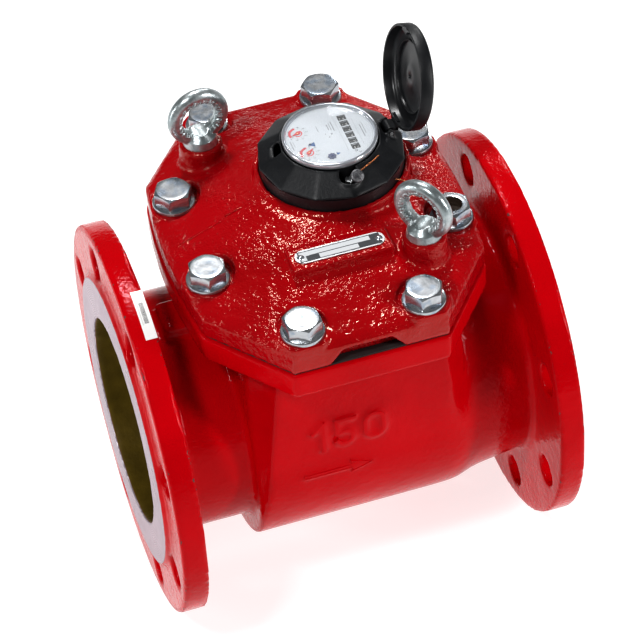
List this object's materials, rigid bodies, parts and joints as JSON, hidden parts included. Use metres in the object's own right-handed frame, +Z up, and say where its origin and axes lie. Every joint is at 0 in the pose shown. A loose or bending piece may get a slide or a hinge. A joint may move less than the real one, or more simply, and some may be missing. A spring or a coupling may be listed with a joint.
{
  "type": "flanged bulk water meter",
  "caption": "Horizontal flanged bulk water meter with a red bolted casting, lifting rings, helical-vane rotor, sealed drum register and hinged lid.",
  "frame": {"origin": "centre of the inlet flange's raised face, on the pipe axis", "axes": "+X downstream along the pipe axis, +Z up through the cover, +Y completes the right-handed frame"},
  "size_m": [0.3, 0.285, 0.4161],
  "materials": {
    "red_paint": "glossy red enamel over cast iron, pebbled by the sand-cast skin",
    "gasket_rubber": "matte black rubber",
    "zinc_steel": "bright zinc plate, slightly mottled",
    "galvanised_steel": "grey galvanised forging",
    "plate_metal": "printed metal plate with a bright border",
    "rivet_metal": "satin aluminium",
    "label_paper": "white adhesive label",
    "grey_plastic": "moulded grey plastic",
    "white_plastic": "moulded off-white plastic",
    "bare_steel": "turned stainless steel",
    "brass": "machined brass",
    "magnet": "sintered dark magnet",
    "can_copper": "drawn metal can",
    "base_plastic": "dark moulded plastic",
    "drum_plastic": "black number drums with white figures",
    "dial_white": "printed white dial",
    "hand_red": "red pointer",
    "star_blue": "dark blue star wheel",
    "lens_glass": "clear glass",
    "lens_rim": "bright crimped rim",
    "black_plastic": "matte textured charcoal plastic",
    "lead": "dull crimped lead",
    "copper": "twisted copper wire"
  },
  "bodies": {
    "meter": {"body_casting": "red_paint", "cover_casting": "red_paint", "cover_gasket": "gasket_rubber", "cover_bolts": "zinc_steel", "seal_bolt": "zinc_steel", "cover_washers": "zinc_steel", "eyebolts": "galvanised_steel", "nameplate": "plate_metal", "nameplate_rivets": "rivet_metal", "flange_label": "label_paper", "insert_housing": "grey_plastic", "insert_seals": "gasket_rubber", "flow_straightener": "grey_plastic", "front_bearing": "brass", "rear_bridge": "grey_plastic", "rear_bearing": "brass", "lower_shaft_bearing": "brass", "upper_shaft_bearing": "brass", "insert_head": "brass", "separator_plate": "bare_steel", "head_seal": "gasket_rubber", "head_screws": "bare_steel", "column_screws": "bare_steel", "register_can": "can_copper", "register_base": "base_plastic", "gear_plate": "brass", "drum_shaft": "bare_steel", "dial_plate": "dial_white", "lens": "lens_glass", "lens_ring": "lens_rim", "shroud": "black_plastic", "hinge_pin": "bare_steel", "shroud_screw": "bare_steel", "lead_seal": "lead", "seal_wire": "copper", "bolt_wire": "copper"},
    "lid": {"lid": "black_plastic"},
    "rotor": {"rotor": "white_plastic", "rotor_shaft": "bare_steel", "worm": "brass"},
    "transmission": {"worm_wheel": "white_plastic", "transmission_shaft": "bare_steel", "driver_magnet": "magnet"},
    "regulator": {"regulator_vane": "brass"},
    "follower": {"follower_magnet": "magnet", "follower_pinion": "brass"},
    "transfer": {"transfer_gear": "brass"},
    "hundredths": {"hundredths_gear": "brass", "hundredths_hand": "hand_red"},
    "reduction": {"reduction_gear": "brass"},
    "tenths": {"tenths_gear": "brass", "tenths_hand": "hand_red"},
    "star": {"star_gear": "brass", "leak_star": "star_blue"},
    "drum_1": {"drum_1": "drum_plastic"},
    "drum_2": {"drum_2": "drum_plastic"},
    "drum_3": {"drum_3": "drum_plastic"},
    "drum_4": {"drum_4": "drum_plastic"},
    "drum_5": {"drum_5": "drum_plastic"},
    "drum_6": {"drum_6": "drum_plastic"}
  },
  "joints": [
    {"name": "rotor_spin", "type": "hinge", "parent": "meter", "child": "rotor", "pos_m": [0.14, 0, 0], "axis": [1, 0, 0], "continuous": true},
    {"name": "lid_hinge", "type": "hinge", "parent": "meter", "child": "lid", "pos_m": [0.2118, 0.015, 0.1974], "axis": [0, 1, 0], "range_deg": [-101.3, 8.7]},
    {"name": "regulator_turn", "type": "hinge", "parent": "meter", "child": "regulator", "pos_m": [0.102, 0, 0.05], "axis": [0, 0, 1], "range_deg": [-30, 30]},
    {"name": "transmission_spin", "type": "hinge", "parent": "meter", "child": "transmission", "pos_m": [0.1703, 0.015, 0.1], "axis": [0, 0, 1], "continuous": true},
    {"name": "follower_spin", "type": "hinge", "parent": "meter", "child": "follower", "pos_m": [0.1703, 0.015, 0.19], "axis": [0, 0, 1], "continuous": true},
    {"name": "transfer_spin", "type": "hinge", "parent": "meter", "child": "transfer", "pos_m": [0.16105, 0.00905, 0.19], "axis": [0, 0, 1], "continuous": true},
    {"name": "hundredths_spin", "type": "hinge", "parent": "meter", "child": "hundredths", "pos_m": [0.1518, 0.0031, 0.19], "axis": [0, 0, 1], "continuous": true},
    {"name": "reduction_spin", "type": "hinge", "parent": "meter", "child": "reduction", "pos_m": [0.15159, 0.0136, 0.19], "axis": [0, 0, 1], "continuous": true},
    {"name": "tenths_spin", "type": "hinge", "parent": "meter", "child": "tenths", "pos_m": [0.1503, 0.025, 0.19], "axis": [0, 0, 1], "continuous": true},
    {"name": "star_spin", "type": "hinge", "parent": "meter", "child": "star", "pos_m": [0.1653, -0.00591, 0.19], "axis": [0, 0, 1], "continuous": true},
    {"name": "drum_1_turn", "type": "hinge", "parent": "meter", "child": "drum_1", "pos_m": [0.1836, -0.00075, 0.1956], "axis": [0, 1, 0], "continuous": true},
    {"name": "drum_2_turn", "type": "hinge", "parent": "meter", "child": "drum_2", "pos_m": [0.1836, 0.00555, 0.1956], "axis": [0, 1, 0], "continuous": true},
    {"name": "drum_3_turn", "type": "hinge", "parent": "meter", "child": "drum_3", "pos_m": [0.1836, 0.01185, 0.1956], "axis": [0, 1, 0], "continuous": true},
    {"name": "drum_4_turn", "type": "hinge", "parent": "meter", "child": "drum_4", "pos_m": [0.1836, 0.01815, 0.1956], "axis": [0, 1, 0], "continuous": true},
    {"name": "drum_5_turn", "type": "hinge", "parent": "meter", "child": "drum_5", "pos_m": [0.1836, 0.02445, 0.1956], "axis": [0, 1, 0], "continuous": true},
    {"name": "drum_6_turn", "type": "hinge", "parent": "meter", "child": "drum_6", "pos_m": [0.1836, 0.03075, 0.1956], "axis": [0, 1, 0], "continuous": true}
  ],
  "couplings": [
    {"joint": "transmission_spin", "follows": "rotor_spin", "ratio": -0.05},
    {"joint": "follower_spin", "follows": "rotor_spin", "ratio": -0.05},
    {"joint": "transfer_spin", "follows": "rotor_spin", "ratio": 0.028571},
    {"joint": "hundredths_spin", "follows": "rotor_spin", "ratio": -0.05},
    {"joint": "reduction_spin", "follows": "rotor_spin", "ratio": 0.01},
    {"joint": "tenths_spin", "follows": "rotor_spin", "ratio": -0.005},
    {"joint": "star_spin", "follows": "rotor_spin", "ratio": 0.093333},
    {"joint": "drum_1_turn", "follows": "rotor_spin", "ratio": 0.0005},
    {"joint": "drum_2_turn", "follows": "rotor_spin", "ratio": 0.00005},
    {"joint": "drum_3_turn", "follows": "rotor_spin", "ratio": 0.000005},
    {"joint": "drum_4_turn", "follows": "rotor_spin", "ratio": 0.0000005},
    {"joint": "drum_5_turn", "follows": "rotor_spin", "ratio": 0.00000005},
    {"joint": "drum_6_turn", "follows": "rotor_spin", "ratio": 0.000000005}
  ]
}
